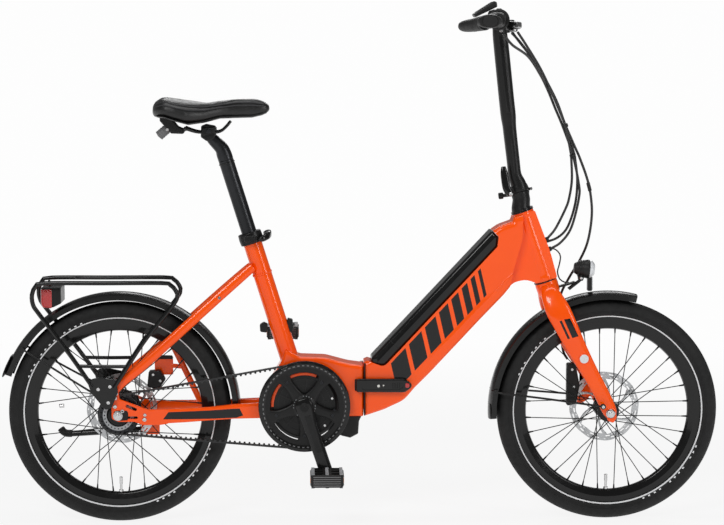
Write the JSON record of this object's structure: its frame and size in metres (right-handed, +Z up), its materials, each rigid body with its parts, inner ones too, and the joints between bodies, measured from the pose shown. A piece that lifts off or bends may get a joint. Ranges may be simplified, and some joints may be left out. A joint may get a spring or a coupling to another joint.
{
  "type": "folding electric bicycle",
  "caption": "Folding electric bicycle with small wheels, a low main tube with battery, a mid motor, a toothed belt, mudguards, rack and lights; frame and handlepost fold.",
  "frame": {"origin": "on the ground, under the middle of the whole object's bounding box", "axes": "+X forward, +Y to the rider's left, +Z up"},
  "size_m": [1.6082, 0.5976, 1.171],
  "materials": {
    "orange_paint": "gloss",
    "black_paint": "satin",
    "black_plastic": "satin",
    "rubber": "matte",
    "tyre": "matte",
    "steel": "brushed",
    "grey_metal": "satin",
    "vinyl": "grained",
    "red_lens": "gloss"
  },
  "bodies": {
    "rear_frame": {"rear_yoke": "orange_paint", "right_chainstay": "orange_paint", "left_chainstay": "orange_paint", "right_seat_stay": "orange_paint", "left_seat_stay": "orange_paint", "motor_casing": "black_paint", "frame_hinge_pin": "steel", "seat_clamp_collar": "black_paint", "rack_right_side": "black_paint", "rack_left_side": "black_paint", "rack_deck": "black_paint", "tail_light": "red_lens", "rear_mudguard": "black_plastic", "rear_axle": "steel", "rear_caliper": "black_paint", "drive_belt": "rubber"},
    "kickstand": {"kickstand_leg": "black_paint"},
    "frame_latch": {"frame_latch": "black_paint"},
    "seat_clamp_lever": {"seat_clamp_lever": "black_paint"},
    "seat": {"seat_post": "grey_metal", "saddle_rails": "grey_metal", "saddle": "vinyl", "tail_clip": "black_plastic"},
    "rear_wheel": {"rear_tyre": "tyre", "rear_rim": "black_paint", "rear_hub": "black_paint", "rear_rotor": "steel"},
    "rear_sprocket": {"rear_sprocket": "grey_metal"},
    "crank": {"crank_spindle": "steel", "front_pulley": "grey_metal", "right_crank_arm": "black_paint", "left_crank_arm": "black_paint"},
    "right_pedal": {"right_pedal": "black_plastic"},
    "left_pedal": {"left_pedal": "black_plastic"},
    "front_frame": {"front_frame": "orange_paint"},
    "battery": {"battery": "black_plastic"},
    "steering": {"fork": "orange_paint", "stem_base": "black_paint", "front_mudguard": "black_plastic", "front_axle": "steel", "front_caliper": "black_paint", "front_brake_hose": "rubber", "rear_brake_hose": "rubber", "shift_cable": "rubber"},
    "headlight": {"headlight": "black_plastic"},
    "front_wheel": {"front_tyre": "tyre", "front_rim": "black_paint", "front_hub": "black_paint", "front_rotor": "steel"},
    "handlepost": {"handlepost": "black_paint", "handlebar": "black_paint", "right_grip": "rubber", "left_grip": "rubber", "right_brake_body": "black_paint", "left_brake_body": "black_paint", "display": "black_plastic"},
    "post_latch": {"post_latch": "black_paint"},
    "right_brake_lever": {"right_brake_lever": "black_paint"},
    "left_brake_lever": {"left_brake_lever": "black_paint"},
    "twist_shifter": {"twist_shifter": "black_plastic"}
  },
  "joints": [
    {"name": "frame_fold", "type": "hinge", "parent": "rear_frame", "child": "front_frame", "pos_m": [0.00109, 0.0485, 0.3], "axis": [0, 0, 1], "range_deg": [0, 125]},
    {"name": "steering", "type": "hinge", "parent": "front_frame", "child": "steering", "pos_m": [0.36009, 0, 0.698], "axis": [-0.3219, 0, 0.9468], "range_deg": [-45, 45], "deforming": ["front_brake_hose", "rear_brake_hose", "shift_cable"]},
    {"name": "post_fold", "type": "hinge", "parent": "steering", "child": "handlepost", "pos_m": [0.37173, 0.01909, 0.74913], "axis": [-0.6903, 0.7071, -0.153], "range_deg": [0, 150]},
    {"name": "frame_latch_swing", "type": "hinge", "parent": "rear_frame", "child": "frame_latch", "pos_m": [-0.00891, -0.049, 0.313], "axis": [0, 0, -1], "range_deg": [0, 120]},
    {"name": "post_latch_swing", "type": "hinge", "parent": "handlepost", "child": "post_latch", "pos_m": [0.33009, -0.026, 0.741], "axis": [0.8, -0.6, 0], "range_deg": [0, 100]},
    {"name": "front_wheel_spin", "type": "hinge", "parent": "steering", "child": "front_wheel", "pos_m": [0.55409, 0, 0.25], "axis": [0, 1, 0], "continuous": true},
    {"name": "rear_wheel_spin", "type": "hinge", "parent": "rear_frame", "child": "rear_wheel", "pos_m": [-0.54691, 0, 0.25], "axis": [0, 1, 0], "continuous": true},
    {"name": "crank_spin", "type": "hinge", "parent": "rear_frame", "child": "crank", "pos_m": [-0.13191, 0, 0.268], "axis": [0, 1, 0], "continuous": true},
    {"name": "sprocket_spin", "type": "hinge", "parent": "rear_frame", "child": "rear_sprocket", "pos_m": [-0.54691, 0, 0.25], "axis": [0, 1, 0], "continuous": true},
    {"name": "right_pedal_spin", "type": "hinge", "parent": "crank", "child": "right_pedal", "pos_m": [-0.08273, -0.12, 0.12101], "axis": [0, 1, 0], "continuous": true},
    {"name": "left_pedal_spin", "type": "hinge", "parent": "crank", "child": "left_pedal", "pos_m": [-0.18109, 0.12, 0.41499], "axis": [0, 1, 0], "continuous": true},
    {"name": "kickstand_swing", "type": "hinge", "parent": "rear_frame", "child": "kickstand", "pos_m": [-0.48691, 0.08, 0.195], "axis": [0, -0.9272, -0.3746], "range_deg": [0, 95]},
    {"name": "seat_slide", "type": "slide", "parent": "rear_frame", "child": "seat", "axis": [-0.2998, 0, 0.954], "range_m": [-0.1, 0.02]},
    {"name": "seat_lever_swing", "type": "hinge", "parent": "rear_frame", "child": "seat_clamp_lever", "pos_m": [-0.22691, -0.032, 0.642], "axis": [0, 0, -1], "range_deg": [0, 120]},
    {"name": "right_brake_squeeze", "type": "hinge", "parent": "handlepost", "child": "right_brake_lever", "pos_m": [0.32453, -0.142, 1.11151], "axis": [0, 0, -1], "range_deg": [0, 12], "stiffness_Nm_per_rad": 1},
    {"name": "left_brake_squeeze", "type": "hinge", "parent": "handlepost", "child": "left_brake_lever", "pos_m": [0.32453, 0.142, 1.11151], "axis": [0, 0, 1], "range_deg": [0, 12], "stiffness_Nm_per_rad": 1},
    {"name": "shifter_twist", "type": "hinge", "parent": "handlepost", "child": "twist_shifter", "pos_m": [0.28969, -0.1475, 1.12527], "axis": [-0.1513, -0.9876, -0.0421], "range_deg": [-45, 45]},
    {"name": "headlight_tilt", "type": "hinge", "parent": "steering", "child": "headlight", "pos_m": [0.49309, 0, 0.548], "axis": [0, 1, 0], "range_deg": [-10, 10]},
    {"name": "battery_lift", "type": "slide", "parent": "front_frame", "child": "battery", "axis": [-0.7288, 0, 0.6848], "range_m": [0, 0.09]}
  ],
  "couplings": [
    {"joint": "sprocket_spin", "follows": "crank_spin", "ratio": 2.2917}
  ]
}
